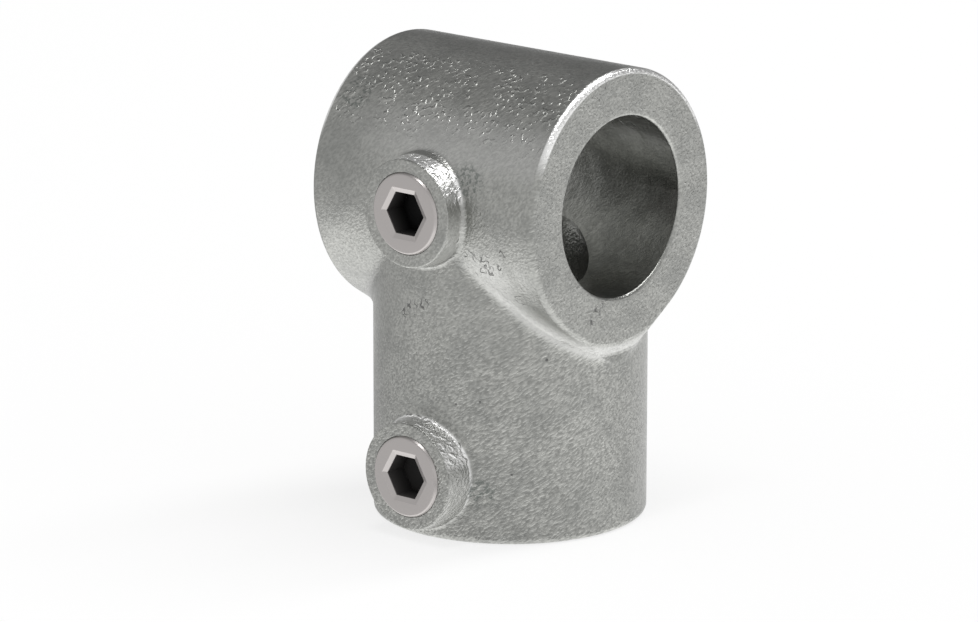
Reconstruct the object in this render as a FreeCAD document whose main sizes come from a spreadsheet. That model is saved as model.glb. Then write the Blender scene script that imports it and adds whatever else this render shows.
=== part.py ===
import FreeCAD, Part
import Sketcher
import math
import os

# Tube clamp tee fitting: one galvanised iron casting that joins the end of an upright post
# tube to a rail tube passing through, and two set screws that lock the tubes.
#
# Frame, in millimetres: the origin is where the two tube axes cross. The rail bore runs along
# X, the post socket opens downwards along -Z, and both set screws face -Y.

# Driving sizes: alias, value, what it is
SIZES = (
    ("rail_tube_diameter", 33.7, "outside diameter of the rail tube"),
    ("rail_clearance", 1.0, "rail bore diameter over the rail tube"),
    ("post_tube_diameter", 42.4, "outside diameter of the post tube"),
    ("post_clearance", 0.8, "post socket diameter over the post tube"),
    ("socket_wall", 4.85, "wall of the post sleeve"),
    ("sleeve_step", 0.1, "crossbar sleeve radius over the post sleeve radius"),
    ("crossbar_overhang", 1.0, "crossbar end faces beyond the post sleeve"),
    ("post_length", 64.0, "rail axis to the mouth of the post socket"),
    ("stop_wall", 2.65, "metal between the rail bore and the end of the post socket"),
    ("core_inset", 2.35, "rail bore radius over the cored passage radius"),
    ("junction_radius", 4.5, "fillet where the two sleeves meet"),
    ("crossbar_rim_radius", 1.1, "outer rounding of the crossbar end faces"),
    ("flare_inset", 0.4, "crossbar sleeve radius over that of the flare under the end faces"),
    ("flare_angle", 71.0, "slope of that flare against the rail axis, in degrees"),
    ("post_rim_radius", 1.2, "outer rounding of the post sleeve end"),
    ("mouth_radius", 0.6, "rounding of the bore mouths"),
    ("boss_height", 4.0, "boss faces beyond the crossbar sleeve"),
    ("boss_wall", 2.45, "boss metal around a tapped hole, at the boss face"),
    ("boss_draft", 5.0, "taper of the boss walls, in degrees"),
    ("boss_edge_radius", 0.3, "rounding of the boss faces"),
    ("boss_foot_radius", 1.0, "fillet at the foot of a boss"),
    ("post_boss_rise", 2.25, "face of the post boss above the socket mouth"),
    ("thread_diameter", 15.8, "pitch diameter of the set screw thread"),
    ("thread_clearance", 0.08, "radial play of a screw in its tapped hole"),
    ("screw_proud", 0.55, "screw faces beyond the boss faces"),
    ("screw_chamfer", 0.35, "chamfer of the screw faces"),
    ("tip_setback", 0.15, "screw tips behind the bore walls"),
    ("tip_chamfer", 1.2, "chamfer of the screw tips"),
    ("cup_diameter", 9.0, "cup in the screw tips"),
    ("cup_depth", 1.5, "depth of that cup"),
    ("hex_across_flats", 8.0, "key size of the screws"),
    ("hex_depth", 5.0, "depth of the key socket"),
    ("hex_bevel_width", 0.9, "bevel round the key socket"),
    ("hex_bevel_depth", 0.4, "depth of that bevel"),
)

# Sizes worked out from the driving ones, as expressions on the sheet
RAIL_BORE = "(sizes.rail_tube_diameter + sizes.rail_clearance)"
SOCKET_BORE = "(sizes.post_tube_diameter + sizes.post_clearance)"
CORE = f"({RAIL_BORE} - 2 * sizes.core_inset)"
POST_SLEEVE = f"({SOCKET_BORE} + 2 * sizes.socket_wall)"
CROSSBAR_SLEEVE = f"({POST_SLEEVE} + 2 * sizes.sleeve_step)"
HALF_CROSSBAR = f"({POST_SLEEVE} / 2 + sizes.crossbar_overhang)"
SOCKET_DEPTH = f"(sizes.post_length - {RAIL_BORE} / 2 - sizes.stop_wall)"
TAPPED_HOLE = "(sizes.thread_diameter + 2 * sizes.thread_clearance)"
BOSS = f"({TAPPED_HOLE} + 2 * sizes.boss_wall)"
BOSS_FACE = f"({CROSSBAR_SLEEVE} / 2 + sizes.boss_height)"
BOSS_ROOT = f"({BOSS_FACE} - {RAIL_BORE} / 2)"
SCREW_FACE = f"({BOSS_FACE} + sizes.screw_proud)"
POST_SCREW_DROP = f"(sizes.post_length - sizes.post_boss_rise - {BOSS} / 2)"
HEX_BEVEL = "(sizes.hex_across_flats + 2 * sizes.hex_bevel_width)"

# The crossbar is first made this much longer at each end than its finished length
BLANK_OVERRUN = f"({CROSSBAR_SLEEVE} / 2)"

# The flare's cut starts this far beyond the end faces, and keeps this far off the post sleeve
FLARE_OVERRUN = 1.0
FLARE_GAP = 0.05

# Points closer than this, in millimetres, count as on a surface
TOUCH = 1e-3


def make_sheet(doc):
    """Spreadsheet of the driving sizes: name, value and meaning on each row."""
    sheet = doc.addObject("Spreadsheet::Sheet", "sizes")
    for row, (alias, value, meaning) in enumerate(SIZES, start=1):
        sheet.set(f"A{row}", alias)
        sheet.set(f"B{row}", str(value))
        sheet.set(f"C{row}", meaning)
        sheet.setAlias(f"B{row}", alias)
    doc.recompute()
    return sheet


def origin_plane(body, role):
    """The body's own origin plane with that role."""
    return next(item for item in body.Origin.OriginFeatures if item.Role == role)


def new_sketch(body, name, role, offset=None):
    """Empty sketch on an origin plane, or the distance offset along its normal."""
    sketch = body.newObject("Sketcher::SketchObject", name)
    sketch.AttachmentSupport = (origin_plane(body, role), [""])
    sketch.MapMode = "FlatFace"
    if offset:
        sketch.setExpression("AttachmentOffset.Base.z", offset)
    return sketch


def hold(sketch, name, expression, *constraint):
    """Dimension of a sketch that follows an expression on the sheet."""
    index = sketch.addConstraint(Sketcher.Constraint(*constraint))
    sketch.renameConstraint(index, name)
    sketch.setExpression(f"Constraints.{name}", expression)


def extrude(body, kind, name, outline, length, backwards=False, both_ways=False):
    """Pad of an outline along its sketch's normal, or a Pocket of it against the normal."""
    feature = body.newObject(f"PartDesign::{kind}", name)
    feature.Profile = outline
    feature.Reversed = backwards
    feature.SideType = "Symmetric" if both_ways else "One side"
    feature.setExpression("Length", length)
    return feature


def add_circle(sketch, name, diameter, drop=None):
    """Circle about the sketch's origin, or about a point the distance drop below it."""
    seed = 10.0
    centre = FreeCAD.Vector(0, -seed if drop else 0, 0)
    ring = sketch.addGeometry(Part.Circle(centre, FreeCAD.Vector(0, 0, 1), seed), False)
    if drop:
        sketch.addConstraint(Sketcher.Constraint("PointOnObject", ring, 3, -2))
        hold(sketch, f"{name}_drop", drop, "DistanceY", ring, 3, -1, 1, seed)
    else:
        sketch.addConstraint(Sketcher.Constraint("Coincident", ring, 3, -1, 1))
    hold(sketch, f"{name}_diameter", diameter, "Diameter", ring, 2 * seed)


def add_hexagon(sketch, name, across_flats):
    """Regular hexagon about the sketch's origin, with two corners on its X axis."""
    seed = 5.0
    corners = [
        FreeCAD.Vector(seed * math.cos(turn), seed * math.sin(turn), 0)
        for turn in (math.radians(60 * corner) for corner in range(6))
    ]
    sides = [
        sketch.addGeometry(Part.LineSegment(corners[side - 1], corners[side]), False)
        for side in range(6)
    ]
    circle = sketch.addGeometry(Part.Circle(FreeCAD.Vector(), FreeCAD.Vector(0, 0, 1), seed), True)
    sketch.addConstraint(Sketcher.Constraint("Coincident", circle, 3, -1, 1))
    for side in range(6):
        sketch.addConstraint(Sketcher.Constraint("Coincident", sides[side - 1], 2, sides[side], 1))
        sketch.addConstraint(Sketcher.Constraint("PointOnObject", sides[side], 1, circle))
    for side in range(1, 6):
        sketch.addConstraint(Sketcher.Constraint("Equal", sides[0], sides[side]))
    sketch.addConstraint(Sketcher.Constraint("PointOnObject", sides[0], 2, -1))
    radius = f"{across_flats} / sqrt(3)"
    hold(sketch, f"{name}_corner_radius", radius, "Radius", circle, seed)


def add_polygon(sketch, name, corners):
    """Closed polygon whose corners follow expressions, each with an X and a Y coordinate."""
    size = sketch.Document.getObject("sizes").evalExpression
    points = [FreeCAD.Vector(size(across), size(up), 0) for across, up in corners]
    sides = [
        sketch.addGeometry(Part.LineSegment(points[corner - 1], points[corner]), False)
        for corner in range(len(corners))
    ]
    for corner, ((across, up), point) in enumerate(zip(corners, points)):
        before = sides[corner - 1]
        side = sides[corner]
        label = f"{name}_{corner}"
        sketch.addConstraint(Sketcher.Constraint("Coincident", before, 2, side, 1))
        hold(sketch, f"{label}_across", across, "DistanceX", -1, 1, side, 2, point.x)
        hold(sketch, f"{label}_up", up, "DistanceY", -1, 1, side, 2, point.y)


def edges_where(feature, test):
    """Names of the feature's edges that pass the test at each of five points along them."""
    names = []
    for number, edge in enumerate(feature.Shape.Edges, start=1):
        if edge.Degenerated:
            continue
        first, last = edge.ParameterRange
        points = [edge.valueAt(first + (last - first) * step / 4) for step in range(5)]
        if all(test(point) for point in points):
            names.append(f"Edge{number}")
    return names


def add_edging(body, kind, name, size, test):
    """Fillet or Chamfer of the edges of the body's last feature that pass the test."""
    base = body.Tip
    base.Document.recompute()
    edging = body.newObject(f"PartDesign::{kind}", name)
    edging.Base = (base, edges_where(base, test))
    edging.setExpression("Radius" if kind == "Fillet" else "Size", size)


def add_sleeves(body):
    """Crossbar blank along X, post sleeve down from the rail axis, and a boss on each facing -Y.

    The blank is longer than the finished crossbar, so that the junction fillet runs out past it.
    The bosses widen from their faces inwards, and reach to the depth of the rail bore.
    """
    outline = new_sketch(body, "crossbar_outline", "YZ_Plane")
    add_circle(outline, "crossbar", CROSSBAR_SLEEVE)
    blank_length = f"2 * ({HALF_CROSSBAR} + {BLANK_OVERRUN})"
    extrude(body, "Pad", "crossbar", outline, blank_length, both_ways=True)

    outline = new_sketch(body, "post_outline", "XY_Plane")
    add_circle(outline, "post", POST_SLEEVE)
    extrude(body, "Pad", "post", outline, "sizes.post_length", backwards=True)

    outline = new_sketch(body, "boss_outlines", "XZ_Plane", BOSS_FACE)
    add_circle(outline, "rail_boss", BOSS)
    add_circle(outline, "post_boss", BOSS, POST_SCREW_DROP)
    bosses = extrude(body, "Pad", "bosses", outline, BOSS_ROOT, backwards=True)
    bosses.setExpression("TaperAngle", "sizes.boss_draft")


def round_boss_faces(body, size):
    """Roundings of the boss faces, made before the bosses' feet are filleted."""
    boss_face = size(BOSS_FACE)
    add_edging(
        body, "Fillet", "boss_edge", "sizes.boss_edge_radius",
        lambda point: abs(-point.y - boss_face) < TOUCH,
    )


def add_inner_fillets(body, size):
    """Fillets where the two sleeves meet and where each boss stands on its sleeve."""
    crossbar_radius = size(CROSSBAR_SLEEVE) / 2
    post_radius = size(POST_SLEEVE) / 2
    boss_radius = size(BOSS) / 2
    boss_face = size(BOSS_FACE)
    boss_edge_radius = size("sizes.boss_edge_radius")
    boss_taper = math.tan(math.radians(size("sizes.boss_draft")))
    boss_drops = (0, size(POST_SCREW_DROP))

    def on_junction(point):
        from_rail_axis = math.hypot(point.y, point.z)
        from_post_axis = math.hypot(point.x, point.y)
        return (
            abs(from_rail_axis - crossbar_radius) < TOUCH
            and abs(from_post_axis - post_radius) < TOUCH
        )

    def on_boss_foot(point):
        from_boss_axes = (math.hypot(point.x, point.z + drop) for drop in boss_drops)
        behind_face = boss_face + point.y
        radius_here = boss_radius + behind_face * boss_taper
        on_side = any(abs(distance - radius_here) < TOUCH for distance in from_boss_axes)
        return on_side and boss_edge_radius < behind_face < boss_face

    add_edging(body, "Fillet", "junction_fillet", "sizes.junction_radius", on_junction)
    add_edging(body, "Fillet", "boss_feet", "sizes.boss_foot_radius", on_boss_foot)


def cut_ends(body):
    """Cut the blank to the crossbar's length at both ends."""
    for end, backwards in (("right", True), ("left", False)):
        side = 1 if backwards else -1
        outline = new_sketch(body, f"{end}_end_outline", "YZ_Plane", f"{side} * {HALF_CROSSBAR}")
        add_circle(outline, f"{end}_end", f"2 * {CROSSBAR_SLEEVE}")
        extrude(body, "Pocket", f"{end}_end", outline, f"2 * {BLANK_OVERRUN}", backwards)


def add_outer_roundings(body, size):
    """Roundings of the two end faces and of the post sleeve's end."""
    for name, across, place in (
        ("crossbar_rim", lambda point: abs(point.x), size(HALF_CROSSBAR)),
        ("post_rim", lambda point: -point.z, size("sizes.post_length")),
    ):
        add_edging(
            body, "Fillet", name, f"sizes.{name}_radius",
            lambda point: abs(across(point) - place) < TOUCH,
        )


def trim_flares(body):
    """Cone under each end face, where the junction fillet reaches beyond the face's circle.

    The cut stops just short of the post sleeve.
    """
    outline = new_sketch(body, "flare_outlines", "XZ_Plane")
    post_side = f"({POST_SLEEVE} / 2 + {FLARE_GAP})"
    beyond_face = f"({HALF_CROSSBAR} + {FLARE_OVERRUN})"
    at_face = f"({CROSSBAR_SLEEVE} / 2 - sizes.flare_inset)"
    corners = (
        (beyond_face, f"{at_face} - {FLARE_OVERRUN} * tan(sizes.flare_angle)"),
        (post_side, f"{at_face} + ({HALF_CROSSBAR} - {post_side}) * tan(sizes.flare_angle)"),
        (post_side, CROSSBAR_SLEEVE),
        (beyond_face, CROSSBAR_SLEEVE),
    )
    for end, side in (("right", 1), ("left", -1)):
        add_polygon(outline, end, [(f"{side} * {along}", out) for along, out in corners])
    flares = body.newObject("PartDesign::Groove", "flares")
    flares.Profile = outline
    flares.ReferenceAxis = (outline, ["H_Axis"])
    flares.Angle = 360


def cut_bores(body):
    """Rail bore, post socket up to its stop, the cored passage between, and the tapped holes.

    The holes have the diameter at which thread and groove are equally wide.
    """
    outline = new_sketch(body, "rail_bore_outline", "YZ_Plane")
    add_circle(outline, "rail_bore", RAIL_BORE)
    extrude(body, "Pocket", "rail_bore", outline, f"4 * {HALF_CROSSBAR}", both_ways=True)

    for name, diameter, depth in (
        ("post_socket", SOCKET_BORE, SOCKET_DEPTH),
        ("core_passage", CORE, "sizes.post_length"),
    ):
        outline = new_sketch(body, f"{name}_outline", "XY_Plane", "-sizes.post_length")
        add_circle(outline, name, diameter)
        extrude(body, "Pocket", name, outline, depth, backwards=True)

    outline = new_sketch(body, "tapped_hole_outlines", "XZ_Plane")
    add_circle(outline, "rail_hole", TAPPED_HOLE)
    add_circle(outline, "post_hole", TAPPED_HOLE, POST_SCREW_DROP)
    extrude(body, "Pocket", "tapped_holes", outline, f"2 * {BOSS_FACE}", backwards=True)


def add_mouth_roundings(body, size):
    """Roundings of the mouths of the rail bore and of the post socket."""
    half_crossbar = size(HALF_CROSSBAR)
    post_length = size("sizes.post_length")
    rail_bore_radius = size(RAIL_BORE) / 2
    socket_radius = size(SOCKET_BORE) / 2

    def on_bore_mouth(point):
        on_rail_mouth = (
            abs(abs(point.x) - half_crossbar) < TOUCH
            and abs(math.hypot(point.y, point.z) - rail_bore_radius) < TOUCH
        )
        on_socket_mouth = (
            abs(point.z + post_length) < TOUCH
            and abs(math.hypot(point.x, point.y) - socket_radius) < TOUCH
        )
        return on_rail_mouth or on_socket_mouth

    add_edging(body, "Fillet", "bore_mouths", "sizes.mouth_radius", on_bore_mouth)


def make_casting(doc, sheet):
    """Crossbar sleeve and post sleeve cast in one, with a boss for each set screw."""
    body = doc.addObject("PartDesign::Body", "cast_body")
    body.Label = "cast_body"
    add_sleeves(body)
    round_boss_faces(body, sheet.evalExpression)
    add_inner_fillets(body, sheet.evalExpression)
    cut_ends(body)
    add_outer_roundings(body, sheet.evalExpression)
    trim_flares(body)
    cut_bores(body)
    add_mouth_roundings(body, sheet.evalExpression)
    return body


def add_hex_pocket(body, name, across_flats, depth, taper=None):
    """Hexagonal recess down from z = 0, which narrows with depth where a taper is given."""
    outline = new_sketch(body, f"{name}_outline", "XY_Plane")
    add_hexagon(outline, name, across_flats)
    pocket = extrude(body, "Pocket", name, outline, depth)
    if taper:
        pocket.setExpression("TaperAngle", taper)


def make_set_screw(doc, sheet, name, wall_radius, drop):
    """Set screw with a hexagon socket and a cup point, from a boss face to a bore wall.

    It is modelled about its own Z axis, with its face at z = 0 and its tip below, and then
    turned so that the face looks along -Y.
    """
    body = doc.addObject("PartDesign::Body", name)
    body.Label = name
    length = f"({SCREW_FACE} - {wall_radius} - sizes.tip_setback)"

    outline = new_sketch(body, f"{name}_outline", "XY_Plane")
    add_circle(outline, "thread", "sizes.thread_diameter")
    extrude(body, "Pad", f"{name}_shank", outline, length, backwards=True)

    tip = -sheet.evalExpression(length)
    add_edging(
        body, "Chamfer", f"{name}_face_chamfer", "sizes.screw_chamfer",
        lambda point: abs(point.z) < TOUCH,
    )
    add_edging(
        body, "Chamfer", f"{name}_tip_chamfer", "sizes.tip_chamfer",
        lambda point: abs(point.z - tip) < TOUCH,
    )

    add_hex_pocket(body, f"{name}_key_socket", "sizes.hex_across_flats", "sizes.hex_depth")
    bevel_taper = "-atan(sizes.hex_bevel_width / sizes.hex_bevel_depth)"
    add_hex_pocket(body, f"{name}_key_bevel", HEX_BEVEL, "sizes.hex_bevel_depth", bevel_taper)

    cup = body.newObject("PartDesign::SubtractiveCone", f"{name}_cup")
    cup.setExpression("Radius1", "sizes.cup_diameter / 2")
    cup.Radius2 = 0
    cup.setExpression("Height", "sizes.cup_depth")
    cup.setExpression("Placement.Base.z", f"-{length}")

    body.Placement.Rotation = FreeCAD.Rotation(FreeCAD.Vector(1, 0, 0), 90)
    body.setExpression("Placement.Base.y", f"-{SCREW_FACE}")
    body.setExpression("Placement.Base.z", f"-{drop}")
    return body


def check_document(doc):
    """Stop if any object of the document failed to recompute."""
    for item in doc.Objects:
        if "Invalid" in item.State or "Error" in item.State:
            raise RuntimeError(f"{item.Label} failed: {item.State}")


def export_piece(piece):
    """Write one piece as parts/LABEL.step, once its solid is known to be sound."""
    shape = piece.Shape
    if shape.isNull() or not shape.isValid() or len(shape.Solids) != 1:
        raise RuntimeError(f"{piece.Label} isn't one valid solid")
    shape.exportStep(os.path.join("parts", f"{piece.Label}.step"))
    print(f"{piece.Label}: {shape.Volume:.1f} cubic millimetres, {len(shape.Faces)} faces")


def main():
    doc = FreeCAD.newDocument("tube_clamp_tee_fitting")
    sheet = make_sheet(doc)
    pieces = (
        make_casting(doc, sheet),
        make_set_screw(doc, sheet, "rail_set_screw", f"{RAIL_BORE} / 2", "0"),
        make_set_screw(doc, sheet, "post_set_screw", f"{SOCKET_BORE} / 2", POST_SCREW_DROP),
    )
    doc.recompute()
    check_document(doc)
    os.makedirs("parts", exist_ok=True)
    for piece in pieces:
        export_piece(piece)


main()
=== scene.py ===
import math
import bpy
import numpy as np
from mathutils import Matrix, Vector


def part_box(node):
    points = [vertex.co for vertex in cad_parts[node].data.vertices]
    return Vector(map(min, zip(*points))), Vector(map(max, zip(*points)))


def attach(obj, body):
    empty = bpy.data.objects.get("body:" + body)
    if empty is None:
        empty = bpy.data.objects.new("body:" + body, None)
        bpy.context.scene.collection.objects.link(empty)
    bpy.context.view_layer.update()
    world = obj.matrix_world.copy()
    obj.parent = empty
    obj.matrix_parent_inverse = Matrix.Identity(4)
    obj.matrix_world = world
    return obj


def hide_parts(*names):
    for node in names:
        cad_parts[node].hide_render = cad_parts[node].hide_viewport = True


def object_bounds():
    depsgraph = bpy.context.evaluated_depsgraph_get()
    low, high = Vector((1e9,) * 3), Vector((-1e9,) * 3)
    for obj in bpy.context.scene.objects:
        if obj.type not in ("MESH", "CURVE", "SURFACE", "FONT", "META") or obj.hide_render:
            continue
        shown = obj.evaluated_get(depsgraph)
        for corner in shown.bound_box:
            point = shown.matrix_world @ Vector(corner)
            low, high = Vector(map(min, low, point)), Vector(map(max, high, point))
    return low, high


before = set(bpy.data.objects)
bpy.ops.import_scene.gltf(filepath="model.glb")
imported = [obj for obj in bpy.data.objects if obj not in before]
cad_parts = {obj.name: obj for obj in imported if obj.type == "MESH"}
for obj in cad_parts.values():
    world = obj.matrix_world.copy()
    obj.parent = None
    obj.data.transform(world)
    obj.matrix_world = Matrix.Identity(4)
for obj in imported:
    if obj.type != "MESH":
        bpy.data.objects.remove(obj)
cad_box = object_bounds()

# Tube clamp tee fitting: a galvanised iron casting with two set screws, on a white studio floor.
# Lengths in the named values are in millimetres, and the scene itself is in metres.
MM = 0.001

# Camera, fitted to the photograph: turned from -Y towards +X and raised, in degrees
CAMERA_TURN = 40.429
CAMERA_HEIGHT = 14.747
CAMERA_ROLL = 0.078
CAMERA_DISTANCE = 1081.58
CAMERA_TARGET = (-5.45, 0.0, -25.85)
CAMERA_LENS = 206.13
CAMERA_SENSOR = 36.0

# Key lamp, a long soft box overhead: the directions of its two ends, its distance, width and power
LAMP_FRONT = (0.0, -0.36, 0.93)
LAMP_BACK = (0.28, 0.70, 0.65)
LAMP_DISTANCE = 4000.0
LAMP_WIDTH = 800.0
LAMP_POWER = 105.0

# Floor: its size, the share of its white that comes from a glow, and the levels that metal mirrors
FLOOR_SIZE = 8000.0
FLOOR_GLOW = 0.75
MIRRORED_LEVEL = 0.93
MIRRORED_MORE_RIGHT = 0.07
MIRRORED_MORE_BACK = 0.12
MIRRORED_LESS_FAR_LEFT = 0.30
MIRRORED_LESS_NEAR = 0.36
MIRRORED_MORE_STEEP = 1.1

# Room that the metal mirrors: its level at the horizon, what is taken off it, and its side slope
ROOM_LEVEL = 0.80
ROOM_LESS_OVERHEAD = 0.25
ROOM_LESS_HIGH_BACK = 0.23
ROOM_LESS_BACK = 0.32
ROOM_SIDE_SLOPE = 0.12
ROOM_SIDE_MIDDLE = -0.63

# The casting's outside, which the finish follows
CROSSBAR_RADIUS = 26.55
POST_RADIUS = 26.45
BOSS_FACE = 30.55
BOSS_RADIUS = 10.43
BOSS_DRAFT = 5.0
BOSS_DROPS = (0.0, 51.32)

# The way the zinc ran, as turns about X, Y and Z in degrees, and how far it draws ripples out
RUN_TURN = (0.0, -30.0, 45.0)
RUN_STRETCH = 2.3

# Flaws of the zinc skin, each with its place and reach: winding pits, dark marks and dull stains
PITS = ((-2.1, -26.4, -19.2, 1.9), (0.9, -26.4, -18.0, 1.5), (-4.1, -26.1, -20.6, 1.3),
        (27.4, -7.2, -19.1, 1.7), (27.4, -5.4, -18.1, 1.2), (27.4, -8.6, -20.4, 1.3),
        (11.6, -25.6, -7.2, 1.8), (15.2, -25.4, -7.8, 2.0), (13.2, -24.5, -10.2, 1.6),
        (15.6, -24.4, -10.4, 1.4), (17.8, -25.0, -9.0, 1.6), (20.2, -26.1, -4.9, 1.4),
        (9.7, -26.2, -4.3, 1.2), (20.9, -22.0, -14.8, 1.7))
MARKS = ((21.7, -15.1, -27.7, 0.40), (12.3, -23.4, -35.9, 0.32), (7.9, -25.2, -36.7, 0.28),
         (17.3, -20.0, -50.0, 0.32), (27.4, -5.2, 23.9, 0.32), (27.4, -7.0, 21.9, 0.28))
STAINS = ((11.0, -25.4, 6.5, 5.0), (12.5, -23.3, -53.8, 4.0), (-22.0, -19.0, 18.0, 5.0))

# Zinc skin: the size of each pattern's lumps, and the height that it adds
SWELL_SIZE = 7.0
SWELL_HEIGHT = 0.30
RIPPLE_SIZE = 0.47
RIPPLE_HEIGHT = 0.13
RIPPLE_HEIGHT_MORE = 0.10
BORE_RIPPLE_SHARE = 0.3
GRIT_SIZE = 0.32
GRIT_HEIGHT = 0.02
SPECK_SIZE = 0.95
SPECK_HEIGHT = 0.25
PATCH_SIZE = 5.0
PIT_LINE_SIZE = 1.5
PIT_DEPTH = 0.12
CLOUD_SIZE = 7.0
STAIN_SIZE = 0.8
DULL_LIT_SIZE = 1.1
SHINE_SIZE = 3.0

# Where a noise crosses into its pattern, as the two ends of a smooth step
SPECK_STEP = (0.54, 0.71)
PATCH_STEP = (0.34, 0.52)
PIT_LINE_STEP = (0.015, 0.05)
RIPPLE_LIGHT_STEP = (0.28, 0.72)
CLOUD_STEP = (0.40, 0.70)
STAIN_STEP = (0.48, 0.60)

# Where on the casting the finish and the painted light and shade change: the ends of a smooth
# step, or of the two steps of a band
CONTRAST_DROP = (16.0, 34.0)
DEEPER_DROP = (15.0, 45.0)
AT_END_FACE = (26.9, 27.4)
OUTSIDE_BORE = (17.6, 18.6)
SPECKLED_HEIGHT = (11.0, 17.0, 24.0, 26.0)
SPECKLED_END = (25.5, 26.5)
RIM_END = (26.3, 26.7)
RIM_RADIUS = (25.3, 25.6)
RIM_HEIGHT = (9.0, 15.0)
# Painted light: a paler band round the crossbar 6 to 20 mm above its axis, paler towards +X
FRONT_LIGHT_SIDE = (-27.0, 0.0)
FRONT_LIGHT_HEIGHT = (6.0, 12.0, 15.0, 20.0)
FRONT_LIGHT_END = (26.0, 26.8)
FRONT_LIGHT_FRONT = (-28.0, -27.0)
# Painted shade: the crossbar darker towards its -X end, around its axis
LEFT_SHADE_SIDE = (-20.0, -6.0)
LEFT_SHADE_HEIGHT = (-6.0, 2.0, 8.0, 16.0)
BEHIND_BOSSES = (-25.0, -24.0)
BEHIND_LIFT = 10.0
CORNER_STEP = (0.05, 0.5)
LOWER_FOOT_HEIGHT = (-44.0, -40.0)
LOWER_FOOT_SIDE = (2.0, 6.0)
UPPER_FOOT_HEIGHT = (-15.0, -13.0, -9.0, -7.0)
UPPER_FOOT_SIDE = (7.0, 9.0)
BRIGHT_WALL_OUT = (0.0, 0.3)
BRIGHT_WALL_REACH = (1.0, 1.6)
BRIGHT_WALL_HEIGHT = (2.0, 5.0)
BRIGHT_WALL_FACE = (-0.35, -0.15)
DULL_LIT_WALL_OUT = (0.3, 1.0)
DULL_LIT_WALL_HEIGHT = (-14.0, -11.0, -2.0, 4.0)
DULL_LIT_WALL_FACE = (-0.4, -0.1)

# Dull patch under the crossbar, made paler as painted light, by distance off the sleeves, drop
# below the axis, and side
DULL_LIT_NEAR_POST = (1.0, 7.0)
DULL_LIT_FARTHER = (7.0, 10.0)
DULL_LIT_FARTHER_SIDE = (20.0, 24.0)
DULL_LIT_DROP = (4.0, 10.0)
DULL_LIT_SIDE = (6.0, 19.0)
DULL_LIT_END = (26.8, 27.3)
DULL_LIT_OFF_SKIN = (0.1, 0.5)
FILLET_SIDE = (18.0, 24.0)
ROUNDING_SIDE = (24.5, 27.0)

# Colours of the zinc skin and of the light, highlight and shade painted on it, in the order in
# which they are laid on, of the screws and the floor
# Ripple hollows and crests: the zinc's tone with painted shade in the hollows and painted light on
# the crests
ZINC_HOLLOW_SHADE = (0.27, 0.273, 0.260, 1)
ZINC_CREST_LIGHT = (0.44, 0.443, 0.421, 1)
CLOUD = (0.22, 0.225, 0.217, 1)
# Painted light on the crossbar's band above its axis
FRONT_PAINTED_LIGHT = (0.55, 0.55, 0.54, 1)
# Painted shade on the crossbar's -X end
LEFT_PAINTED_SHADE = (0.20, 0.205, 0.197, 1)
# Painted light on the fillets
CORNER_PAINTED_LIGHT = (0.46, 0.46, 0.45, 1)
# Painted highlight on the fillets' feet
FOOT_PAINTED_HIGHLIGHT = (0.74, 0.74, 0.73, 1)
STAIN = (0.15, 0.165, 0.155, 1)
# Painted light: the dull patch is paler than the zinc around it
DULL_LIT = (0.66, 0.662, 0.64, 1)
# Painted highlight on the upper boss walls and end-face rims
BRIGHT_PAINTED_HIGHLIGHT = (0.88, 0.88, 0.87, 1)
MARK = (0.10, 0.10, 0.10, 1)
STEEL = (0.46, 0.436, 0.426, 1)
KEY_SHADE = (0.005, 0.005, 0.005, 1)
PAPER = (0.99, 0.99, 0.99, 1)
WHITE = (1, 1, 1, 1)

# Set screws: thread, face and key socket, and tip
THREAD_PITCH = 1.337
THREAD_DEPTH = 0.85
THREAD_FLAT = 0.125
THREAD_RUN_IN = 0.25
THREAD_GAP = 0.1
THREAD_ROWS_PER_TURN = 12
SCREW_COLUMNS = 144
FACE_ROUND = 0.45
FACE_ROUND_TURN = 60.0
FACE_ROUND_ROWS = 7
FACE_PROUD = 0.55
SHARP_EDGE_TURN = 28.0
KEY_ACROSS_FLATS = 8.0
KEY_DEPTH = 5.0
KEY_BEVEL_WIDTH = 0.9
KEY_BEVEL_DEPTH = 0.4
KEY_SHADE_FADE = 0.3
DRILL_RADIUS = 3.4
DRILL_POINT = 1.5
TIP_CHAMFER = 1.2
TIP_THREAD_SHARE = 0.35
CUP_RADIUS = 4.5
CUP_DEPTH = 1.5

# Small breaks of the screws' edges, and the radius of the flat middle at either end
FINE_BREAK = 0.02
KEY_BREAK_ACROSS = 0.08
FACE_BREAK_DEPTH = 0.05
FACE_BREAK_IN = 0.12
FACE_BREAK_OUT = 0.06
TIP_BREAK = 0.1
CUP_BREAK_DEPTH = 0.08
CUP_BREAK_ACROSS = 0.06
MIDDLE_RADIUS = 0.02


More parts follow.
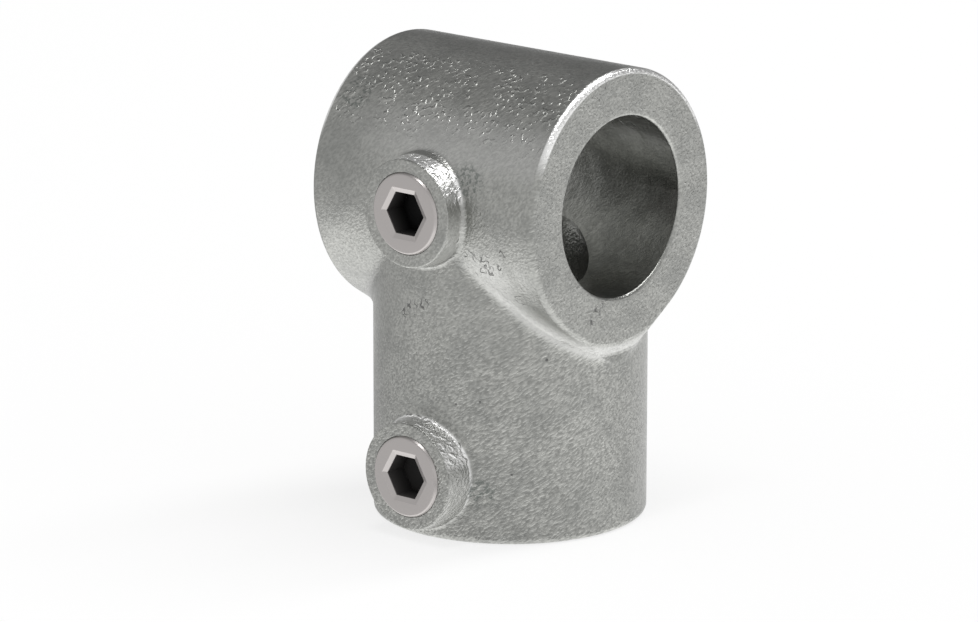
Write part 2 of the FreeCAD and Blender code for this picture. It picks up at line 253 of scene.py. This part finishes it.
class Value:
    """A shader value, vector or colour. Arithmetic on it adds Math nodes to its graph."""

    def __init__(self, graph, socket):
        self.graph = graph
        self.socket = socket

    def math(self, operation, *others):
        return self.graph.node("Math", {"operation": operation}, [self, *others])

    def __add__(self, other):
        return self.math("ADD", other)

    def __radd__(self, other):
        return self.math("ADD", other)

    def __sub__(self, other):
        return self.math("SUBTRACT", other)

    def __rsub__(self, other):
        return self.graph.node("Math", {"operation": "SUBTRACT"}, [other, self])

    def __mul__(self, other):
        return self.math("MULTIPLY", other)

    def __rmul__(self, other):
        return self.math("MULTIPLY", other)

    def __truediv__(self, other):
        return self.math("DIVIDE", other)

    def __neg__(self):
        return self.math("MULTIPLY", -1.0)

    def __abs__(self):
        return self.math("ABSOLUTE")

    def lower(self, other):
        return self.math("MINIMUM", other)

    def higher(self, other):
        return self.math("MAXIMUM", other)

    def rise(self, low, high):
        """0 below low, 1 above high, and a smooth step between."""
        settings = {"interpolation_type": "SMOOTHSTEP"}
        return self.graph.node("MapRange", settings, [self, low, high, 0.0, 1.0])

    def fall(self, low, high):
        """1 below low, 0 above high, and a smooth step between."""
        return 1 - self.rise(low, high)

    def within(self, low, rise_end, fall_start, high):
        """0 below low and above high, 1 from rise_end to fall_start, and smooth steps between."""
        return self.rise(low, rise_end) * self.fall(fall_start, high)


class Graph:
    """Nodes of one material or of the world."""

    def __init__(self, owner):
        owner.use_nodes = True
        self.tree = owner.node_tree
        self.tree.nodes.clear()

    def node(self, kind, settings=None, inputs=(), output=0):
        """Adds a node, sets it up, feeds its sockets and returns one of its outputs.

        inputs is a list for the first sockets in order, or a dict by socket name or number.
        """
        node = self.tree.nodes.new("ShaderNode" + kind)
        for name, setting in (settings or {}).items():
            setattr(node, name, setting)
        pairs = inputs.items() if isinstance(inputs, dict) else enumerate(inputs)
        for place, given in pairs:
            if isinstance(given, Value):
                self.tree.links.new(given.socket, node.inputs[place])
            else:
                node.inputs[place].default_value = given
        return Value(self, node.outputs[output]) if node.outputs else None

    def vector(self, operation, first, second):
        """Vector worked out from two vectors, or from a vector and a scale."""
        inputs = {0: first, ("Scale" if operation == "SCALE" else 1): second}
        return self.node("VectorMath", {"operation": operation}, inputs)

    def length(self, vector):
        return self.node("VectorMath", {"operation": "LENGTH"}, [vector], output="Value")

    def split(self, vector):
        return [self.node("SeparateXYZ", {}, [vector], output=axis) for axis in range(3)]

    def place(self):
        """Point on the piece, in millimetres."""
        at = self.node("TexCoord", {}, output="Object")
        return self.vector("SCALE", at, 1 / MM)

    def mix(self, share, first, second):
        """Colour that goes from first to second as share goes from 0 to 1."""
        settings = {"data_type": "RGBA"}
        return self.node("Mix", settings, {0: share, 6: first, 7: second}, output=2)

    def noise(self, place, size, detail=2.0, roughness=0.5, distortion=0.0):
        """Cloudy noise about 0.5 with lumps of about that size in millimetres."""
        inputs = {"Vector": place, "Scale": 1 / size, "Detail": detail,
                  "Roughness": roughness, "Distortion": distortion}
        return self.node("TexNoise", {}, inputs)

    def bump(self, height):
        """Normal of the surface under a height in millimetres."""
        return self.node("Bump", {}, {"Strength": 1.0, "Distance": MM, "Height": height})


def new_material(name):
    material = bpy.data.materials.new(name)
    return material, Graph(material)


def round_distance(g, first, second):
    """Distance from an axis, given the two coordinates across it."""
    return g.length(g.node("CombineXYZ", {}, [first, second, 0.0]))


def off_sleeves(g, place):
    """How far a place is outside the crossbar's round surface, and outside the post's."""
    x, y, z = g.split(place)
    return round_distance(g, y, z) - CROSSBAR_RADIUS, round_distance(g, x, y) - POST_RADIUS


def along_run(g, place):
    """Place squeezed along the way that the zinc ran, which draws a pattern out along it."""
    turn = tuple(math.radians(angle) for angle in RUN_TURN)
    return g.node("Mapping", {"vector_type": "TEXTURE"},
                  {"Vector": place, "Rotation": turn, "Scale": (RUN_STRETCH, 1.0, 1.0)})


def near_spots(g, place, spots):
    """1 at the spots, which are given as x, y, z and reach, and 0 beyond their reach."""
    nearest = 0.0
    for *middle, reach in spots:
        distance = g.length(g.vector("SUBTRACT", place, middle))
        nearest = distance.fall(0.5 * reach, reach).higher(nearest)
    return nearest


def winding_pits(g, place):
    """1 along thin winding lines near the PITS: where a noise is close to its middle value."""
    from_line = abs(g.noise(place, PIT_LINE_SIZE, 0.0, 0.5, 0.6) - 0.5)
    return near_spots(g, place, PITS) * from_line.fall(*PIT_LINE_STEP)


def ripple_shape(g, place):
    """Ripples of the zinc skin, about 0.5 in the middle, higher on their crests."""
    return g.noise(along_run(g, place), RIPPLE_SIZE, 1.5, 0.55, 0.3)


def boss_walls(g, place):
    """1 on the upper half of the boss walls, else 0."""
    x, y, z = g.split(place)
    from_crossbar, from_post = off_sleeves(g, place)
    standing_out = from_crossbar.lower(from_post).rise(*BRIGHT_WALL_OUT)
    behind_face = (-y - BOSS_FACE).fall(*BRIGHT_WALL_FACE)
    walls = 0.0
    for drop in BOSS_DROPS:
        near_boss = (round_distance(g, x, z + drop) - BOSS_RADIUS).fall(*BRIGHT_WALL_REACH)
        walls = near_boss * (z + drop).rise(*BRIGHT_WALL_HEIGHT) + walls
    return walls * standing_out * behind_face


def upper_rims(g, place):
    """1 along the upper part of the end-face roundings, else 0."""
    x, y, z = g.split(place)
    at_rim = abs(x).rise(*RIM_END) * round_distance(g, y, z).rise(*RIM_RADIUS)
    return at_rim * z.rise(*RIM_HEIGHT)


def inner_corners(g, place):
    """1 on the fillets, which lie outside both of the round surfaces that they join, else 0."""
    x, y, z = g.split(place)
    from_crossbar, from_post = off_sleeves(g, place)
    corner = from_crossbar.lower(from_post)
    behind = BEHIND_LIFT * y.rise(*BEHIND_BOSSES)
    boss_radius = BOSS_RADIUS + math.tan(math.radians(BOSS_DRAFT)) * (y + BOSS_FACE)
    for drop in BOSS_DROPS:
        from_boss = round_distance(g, x, z + drop) - boss_radius
        corner = corner.lower(from_boss + behind)
    return corner.rise(*CORNER_STEP)


def fillet_feet(g, place):
    """1 at the foot of the lower boss on the +X side and under the upper boss, where a painted
    highlight is laid on the fillets, else 0.
    """
    x, _, z = g.split(place)
    under_lower = z.fall(*LOWER_FOOT_HEIGHT) * x.rise(*LOWER_FOOT_SIDE)
    under_upper = z.within(*UPPER_FOOT_HEIGHT) * abs(x).fall(*UPPER_FOOT_SIDE)
    return under_lower.higher(under_upper)


def dull_and_painted_light(g, place):
    """How dull the zinc skin is made, and how much painted light makes it paler: 1 under the
    crossbar close to the post, on the +X side, up to 0.25 farther from the post near the end face,
    and 0.6 on the lower walls of the bosses. Else 0.
    """
    x, y, z = g.split(place)
    from_crossbar, from_post = off_sleeves(g, place)
    farther = 0.25 * x.rise(*DULL_LIT_FARTHER_SIDE) * from_post.fall(*DULL_LIT_FARTHER)
    under = from_post.fall(*DULL_LIT_NEAR_POST).higher(farther)
    under = under * (-z).rise(*DULL_LIT_DROP) * x.rise(*DULL_LIT_SIDE) * x.fall(*DULL_LIT_END)
    off_skin = abs(from_crossbar) - 0.6 * x.rise(*FILLET_SIDE) - 0.8 * x.rise(*ROUNDING_SIDE)
    under = under * off_skin.fall(*DULL_LIT_OFF_SKIN)
    wall = from_crossbar.lower(from_post).rise(*DULL_LIT_WALL_OUT)
    wall = wall * (-y - BOSS_FACE).fall(*DULL_LIT_WALL_FACE)
    low = 0.0
    for drop in BOSS_DROPS:
        low = (z + drop).within(*DULL_LIT_WALL_HEIGHT) + low
    return under.higher(0.6 * wall * low)


def grain_height(g, place):
    """Height of the zinc skin in millimetres: broad swells, ripples drawn out along the run,
    deeper on the post and on the end faces and shallower in the rail bore, grit, and small
    steep specks in patches on the crossbar's upper side and on the boss walls, less the
    winding pits.
    """
    x, y, z = g.split(place)
    deeper = (-z).rise(*DEEPER_DROP).higher(abs(x).rise(*AT_END_FACE))
    outside = round_distance(g, y, z).rise(*OUTSIDE_BORE)
    share = BORE_RIPPLE_SHARE + (1 - BORE_RIPPLE_SHARE) * outside
    ripple = share * (RIPPLE_HEIGHT + RIPPLE_HEIGHT_MORE * deeper) * ripple_shape(g, place)
    upper_side = z.within(*SPECKLED_HEIGHT) * abs(x).fall(*SPECKLED_END)
    patches = g.noise(place, PATCH_SIZE, 1.0).rise(*PATCH_STEP)
    rough = (upper_side * patches).higher(boss_walls(g, place))
    specks = rough * g.noise(place, SPECK_SIZE, 0.5).rise(*SPECK_STEP)
    swell = SWELL_HEIGHT * g.noise(place, SWELL_SIZE, 1.0)
    grit = GRIT_HEIGHT * g.noise(place, GRIT_SIZE, 1.0)
    return swell + ripple + grit + SPECK_HEIGHT * specks - PIT_DEPTH * winding_pits(g, place)


def zinc_and_painted_light_layers(g, place, dull_lit):
    """Colours laid over the ripples, from the first to the last, each with its share: zinc clouds,
    stains and marks, among painted light, painted highlight and painted shade.
    """
    x, y, z = g.split(place)
    clouds = g.noise(place, CLOUD_SIZE, 4.0, 0.55).rise(*CLOUD_STEP)
    # Painted light: a paler band round the crossbar above its axis, growing towards +X up to the
    # middle and fading at the end faces
    front_painted_light = x.rise(*FRONT_LIGHT_SIDE) * z.within(*FRONT_LIGHT_HEIGHT)
    front_painted_light = front_painted_light * abs(x).fall(*FRONT_LIGHT_END) * y.rise(*FRONT_LIGHT_FRONT)
    # Painted shade: the crossbar's -X end is darker around and just above its axis
    left_painted_shade = x.fall(*LEFT_SHADE_SIDE) * z.within(*LEFT_SHADE_HEIGHT)
    # Painted light: the fillets between the sleeves and the bosses are made paler
    corners = inner_corners(g, place)
    stains = near_spots(g, place, STAINS) * g.noise(place, STAIN_SIZE, 2.0, 0.6).rise(*STAIN_STEP)
    # Painted light, patchy: a paler, less metallic skin under the crossbar and on the lower boss
    # walls
    cloudy = 0.55 + 0.8 * g.noise(place, DULL_LIT_SIZE, 2.0)
    # Painted highlight: the upper halves of the boss walls and the upper end-face rims are made
    # near white
    painted_highlight = boss_walls(g, place).higher(upper_rims(g, place))
    dark = near_spots(g, place, MARKS).higher(winding_pits(g, place))
    return ((0.38 * clouds, CLOUD), (0.4 * front_painted_light, FRONT_PAINTED_LIGHT), (0.25 * left_painted_shade, LEFT_PAINTED_SHADE),
            (0.55 * corners, CORNER_PAINTED_LIGHT), (0.9 * corners * fillet_feet(g, place), FOOT_PAINTED_HIGHLIGHT),
            (0.7 * stains, STAIN), (dull_lit * cloudy, DULL_LIT), (painted_highlight, BRIGHT_PAINTED_HIGHLIGHT), (0.8 * dark, MARK))


def make_casting_material():
    """Zinc skin: painted light on the ripples' crests and painted shade in their hollows, stronger
    on the post, under the coloured layers, several of which are painted light and shade.
    """
    material, g = new_material("galvanised_casting")
    place = g.place()
    _, _, z = g.split(place)
    # Painted light and shade of the ripples: crests paler, hollows darker, more so on the post
    ripple_light_contrast = 0.75 + 0.35 * (-z).rise(*CONTRAST_DROP)
    ripple_light_and_shade = 0.5 + ripple_light_contrast * (ripple_shape(g, place).rise(*RIPPLE_LIGHT_STEP) - 0.5)
    colour = g.mix(ripple_light_and_shade, ZINC_HOLLOW_SHADE, ZINC_CREST_LIGHT)
    dull_lit = dull_and_painted_light(g, place)
    for share, layer in zinc_and_painted_light_layers(g, place, dull_lit):
        colour = g.mix(share, colour, layer)
    roughness = 0.25 + 0.10 * g.noise(place, SHINE_SIZE, 2.0)
    shader = g.node("BsdfPrincipled", {}, {
        "Base Color": colour, "Metallic": 1 - 0.75 * dull_lit, "Roughness": roughness,
        "Normal": g.bump(grain_height(g, place))})
    g.node("OutputMaterial", {}, [shader])
    return material


def make_screw_material():
    """Bright steel, black and without a shine where the attribute shade is 1, in the socket."""
    material, g = new_material("set_screw_steel")
    shade = g.node("Attribute", {"attribute_name": "shade"}, output="Fac")
    shader = g.node("BsdfPrincipled", {}, {
        "Base Color": g.mix(shade, STEEL, KEY_SHADE), "Metallic": 1 - shade, "Roughness": 0.33,
        "Specular IOR Level": 0.1})
    g.node("OutputMaterial", {}, [shader])
    return material


def make_floor_material():
    """White paper. Eyes see it as white, darkened only by shadow. Mirrors see its glow, with
    painted light and shade: brighter where they look down on it steeply, a little darker towards
    -X and the front, and a painted shadow close by in front on the +X side.
    """
    material, g = new_material("floor_paper")
    camera, glossy, passing = (g.node("LightPath", {}, output=f"Is {kind} Ray")
                               for kind in ("Camera", "Glossy", "Transmission"))
    mirror = glossy.higher(passing)
    paper = g.node("BsdfDiffuse", {}, {"Color": PAPER})
    steep = 1 - g.node("LayerWeight", {}, {"Blend": 0.5}, output="Facing")
    x, y, _ = g.split(g.place())
    away = round_distance(g, x, y)
    right, back = x / away, y / away
    sides = MIRRORED_MORE_RIGHT * right + MIRRORED_MORE_BACK * back
    sides = sides - MIRRORED_LESS_FAR_LEFT * (-right).rise(0.85, 1.0)
    # Painted shadow in what mirrors see of the floor: darker close by in front on the +X side
    near = away.fall(30.0, 200.0) * (-back).rise(-0.3, 0.5) * right.rise(-0.2, 0.5)
    mirrored = (MIRRORED_LEVEL + sides) * (1 - MIRRORED_LESS_NEAR * near)
    mirrored = mirrored + MIRRORED_MORE_STEEP * steep.rise(0.33, 0.72)
    level = 1 + mirror * (mirrored - 1)
    glow = g.node("Emission", {}, {"Color": WHITE, "Strength": level})
    shader = g.node("MixShader", {}, [FLOOR_GLOW * camera.higher(mirror), paper, glow])
    g.node("OutputMaterial", {}, [shader])
    return material


def set_material(piece, material):
    piece.data.materials.clear()
    piece.data.materials.append(material)


def make_mesh(name, points, faces):
    """Piece with those points, in metres, and those faces as lists of point numbers."""
    mesh = bpy.data.meshes.new(name)
    mesh.from_pydata(points.tolist(), [], faces)
    mesh.validate()
    piece = bpy.data.objects.new(name, mesh)
    bpy.context.scene.collection.objects.link(piece)
    return piece


# Angle of each column of a screw's points
TURN = np.linspace(0, 2 * np.pi, SCREW_COLUMNS, endpoint=False)


def circle(radius):
    """The same radius at each angle."""
    return np.full(SCREW_COLUMNS, radius)


def hexagon(across):
    """Radius at each angle: across / 2 / cos(angle from the nearest flat's middle)."""
    return across / 2 / np.cos(np.mod(TURN, np.pi / 3) - np.pi / 6)


def key_rings():
    """Rings of the key socket, from its drill point out to the face."""
    bevel = KEY_ACROSS_FLATS + 2 * KEY_BEVEL_WIDTH
    return [
        (KEY_DEPTH + DRILL_POINT, circle(MIDDLE_RADIUS), 1),
        (KEY_DEPTH, circle(DRILL_RADIUS), 1),
        (KEY_DEPTH, hexagon(KEY_ACROSS_FLATS), 1),
        (KEY_BEVEL_DEPTH + KEY_SHADE_FADE, hexagon(KEY_ACROSS_FLATS), 0.9),
        (KEY_BEVEL_DEPTH, hexagon(KEY_ACROSS_FLATS), 0),
        (KEY_BEVEL_DEPTH - FINE_BREAK, hexagon(KEY_ACROSS_FLATS + KEY_BREAK_ACROSS), 0),
        (FACE_BREAK_DEPTH, hexagon(bevel - FACE_BREAK_IN), 0),
        (0.0, hexagon(bevel + FACE_BREAK_OUT), 0),
    ]


def face_rings(radius):
    """Rings of the face's edge: an arc that starts on the flat face, then a cone out to radius."""
    last_turn = math.radians(FACE_ROUND_TURN)
    cone_depth = FACE_PROUD - FACE_ROUND * (1 - math.cos(last_turn))
    arc_end = radius - cone_depth / math.tan(last_turn)
    arc = [(FACE_ROUND * (1 - math.cos(angle)),
            circle(arc_end - FACE_ROUND * (math.sin(last_turn) - math.sin(angle))), 0)
           for angle in np.linspace(0, last_turn, FACE_ROUND_ROWS)]
    return arc + [(FACE_PROUD, circle(radius), 0)]


def thread_rings(radius, length):
    """Rings of the right-hand thread. The radius is the crest radius less the thread's depth
    times a V wave of depth / pitch plus the share of a turn, with flats on its crests and in
    its roots. The groove runs in over one pitch, and the tip's cone cuts the thread off.
    """
    start, end = FACE_PROUD + THREAD_GAP, length - TIP_CHAMFER * TIP_THREAD_SHARE
    rings = []
    for depth in np.linspace(start, end, int((end - start) / THREAD_PITCH * THREAD_ROWS_PER_TURN)):
        wave = 1 - abs(2 * np.mod(depth / THREAD_PITCH + TURN / (2 * np.pi), 1.0) - 1)
        groove = np.clip(wave * (1 + 2 * THREAD_FLAT) - THREAD_FLAT, 0, 1)
        run_in = np.clip((depth - start - THREAD_RUN_IN) / THREAD_PITCH, 0, 1)
        tip_limit = radius - np.clip(depth - (length - TIP_CHAMFER), 0, None)
        rings.append((depth, np.minimum(radius - THREAD_DEPTH * run_in * groove, tip_limit), 0))
    return rings


def tip_rings(radius, length):
    """Rings of the tip: the rest of its cone, its flat rim and the cup in its middle."""
    return [
        (length - FINE_BREAK, circle(radius - TIP_CHAMFER + FINE_BREAK), 0),
        (length, circle(radius - TIP_CHAMFER - TIP_BREAK), 0),
        (length, circle(CUP_RADIUS + TIP_BREAK), 0),
        (length - CUP_BREAK_DEPTH, circle(CUP_RADIUS - CUP_BREAK_ACROSS), 0),
        (length - CUP_DEPTH, circle(MIDDLE_RADIUS), 0),
    ]


def make_screw(node, body, material, key_shade):
    """Set screw over its CAD node: rings from the bottom of the key socket out to the face's
    edge, along the thread and on to the cup.

    Each ring has a depth behind the face, a radius for each angle and a share of key_shade,
    which is how dark the key socket is, up to 1. A small flat face closes either end.
    """
    low, high = (np.array(corner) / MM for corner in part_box(node))
    radius = (high[0] - low[0]) / 2
    length = high[1] - low[1]
    rings = key_rings() + face_rings(radius) + thread_rings(radius, length)
    rings += tip_rings(radius, length)
    depths, radii, shares = (np.array(part) for part in zip(*rings))
    middle = (low + high) / 2
    points = np.stack([
        middle[0] + radii * np.cos(TURN),
        low[1] + np.repeat(depths[:, None], SCREW_COLUMNS, 1),
        middle[2] + radii * np.sin(TURN),
    ], axis=-1).reshape(-1, 3) * MM
    ring, column = np.meshgrid(np.arange(len(rings) - 1), np.arange(SCREW_COLUMNS), indexing="ij")
    beside = (column + 1) % SCREW_COLUMNS
    first, second = ring * SCREW_COLUMNS, (ring + 1) * SCREW_COLUMNS
    quads = np.stack([first + column, second + column, second + beside, first + beside], -1)
    socket_end = np.arange(SCREW_COLUMNS)
    cup_end = len(rings) * SCREW_COLUMNS - 1 - socket_end
    faces = quads.reshape(-1, 4).tolist() + [socket_end.tolist(), cup_end.tolist()]
    piece = make_mesh(node + "_dressed", points, faces)
    shade = (key_shade * np.repeat(shares, SCREW_COLUMNS)).astype(np.float32)
    piece.data.attributes.new("shade", "FLOAT", "POINT").data.foreach_set("value", shade)
    piece.data.shade_smooth()
    piece.data.set_sharp_from_angle(angle=math.radians(SHARP_EDGE_TURN))
    set_material(piece, material)
    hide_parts(node)
    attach(piece, body)


def make_camera():
    turn, height, roll = (math.radians(a) for a in (CAMERA_TURN, CAMERA_HEIGHT, CAMERA_ROLL))
    back = Vector((math.sin(turn) * math.cos(height), -math.cos(turn) * math.cos(height),
                   math.sin(height)))
    right = Vector((0, 0, 1)).cross(back).normalized()
    up = back.cross(right)
    rolled_right = right * math.cos(roll) + up * math.sin(roll)
    rolled_up = up * math.cos(roll) - right * math.sin(roll)
    camera = bpy.data.objects.new("camera", bpy.data.cameras.new("camera"))
    bpy.context.scene.collection.objects.link(camera)
    axes = Matrix((rolled_right, rolled_up, back)).transposed()
    stand = (Vector(CAMERA_TARGET) + back * CAMERA_DISTANCE) * MM
    camera.matrix_world = Matrix.Translation(stand) @ axes.to_4x4()
    camera.data.sensor_width = CAMERA_SENSOR
    camera.data.lens = CAMERA_LENS
    camera.data.clip_start = 10 * MM
    bpy.context.scene.camera = camera


def make_floor(level):
    half = FLOOR_SIZE / 2 * MM
    points = np.array([(-half, -half, level), (half, -half, level),
                       (half, half, level), (-half, half, level)])
    floor = make_mesh("floor", points, [(0, 1, 2, 3)])
    set_material(floor, make_floor_material())


def make_key_lamp():
    front, back = (Vector(end).normalized() for end in (LAMP_FRONT, LAMP_BACK))
    middle = (front + back).normalized()
    across = (back - front).cross(middle).normalized()
    data = bpy.data.lights.new("key_lamp", "AREA")
    data.shape = "RECTANGLE"
    data.size = LAMP_WIDTH * MM
    data.size_y = 2 * LAMP_DISTANCE * math.tan(front.angle(back) / 2) * MM
    data.energy = LAMP_POWER
    lamp = bpy.data.objects.new("key_lamp", data)
    bpy.context.scene.collection.objects.link(lamp)
    axes = Matrix((across, middle.cross(across), middle)).transposed()
    lamp.matrix_world = Matrix.Translation(middle * LAMP_DISTANCE * MM) @ axes.to_4x4()


def make_room():
    """Room that the metal mirrors: pale at the horizon, darker overhead and at the back, and a
    little paler towards +X.
    """
    world = bpy.data.worlds.new("room")
    bpy.context.scene.world = world
    g = Graph(world)
    across, depth, height = g.split(g.node("TexCoord", {}, output="Generated"))
    overhead = ROOM_LESS_OVERHEAD * height.rise(0.25, 0.85)
    high_back = ROOM_LESS_HIGH_BACK * (depth + height).rise(0.35, 1.0)
    level = ROOM_LEVEL - overhead - high_back - ROOM_LESS_BACK * depth.rise(0.45, 0.72)
    level = level + ROOM_SIDE_SLOPE * (across - ROOM_SIDE_MIDDLE)
    colour = g.node("CombineColor", {}, [level, level, level])
    background = g.node("Background", {}, [colour, 1.0])
    g.node("OutputWorld", {}, [background])


bpy.context.scene.view_settings.view_transform = "Standard"
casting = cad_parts["cast_body"]
set_material(casting, make_casting_material())
steel = make_screw_material()
make_screw("rail_set_screw", "rail_screw", steel, 1.0)
make_screw("post_set_screw", "post_screw", steel, 0.95)
make_floor(cad_box[0][2])
make_key_lamp()
make_room()
make_camera()
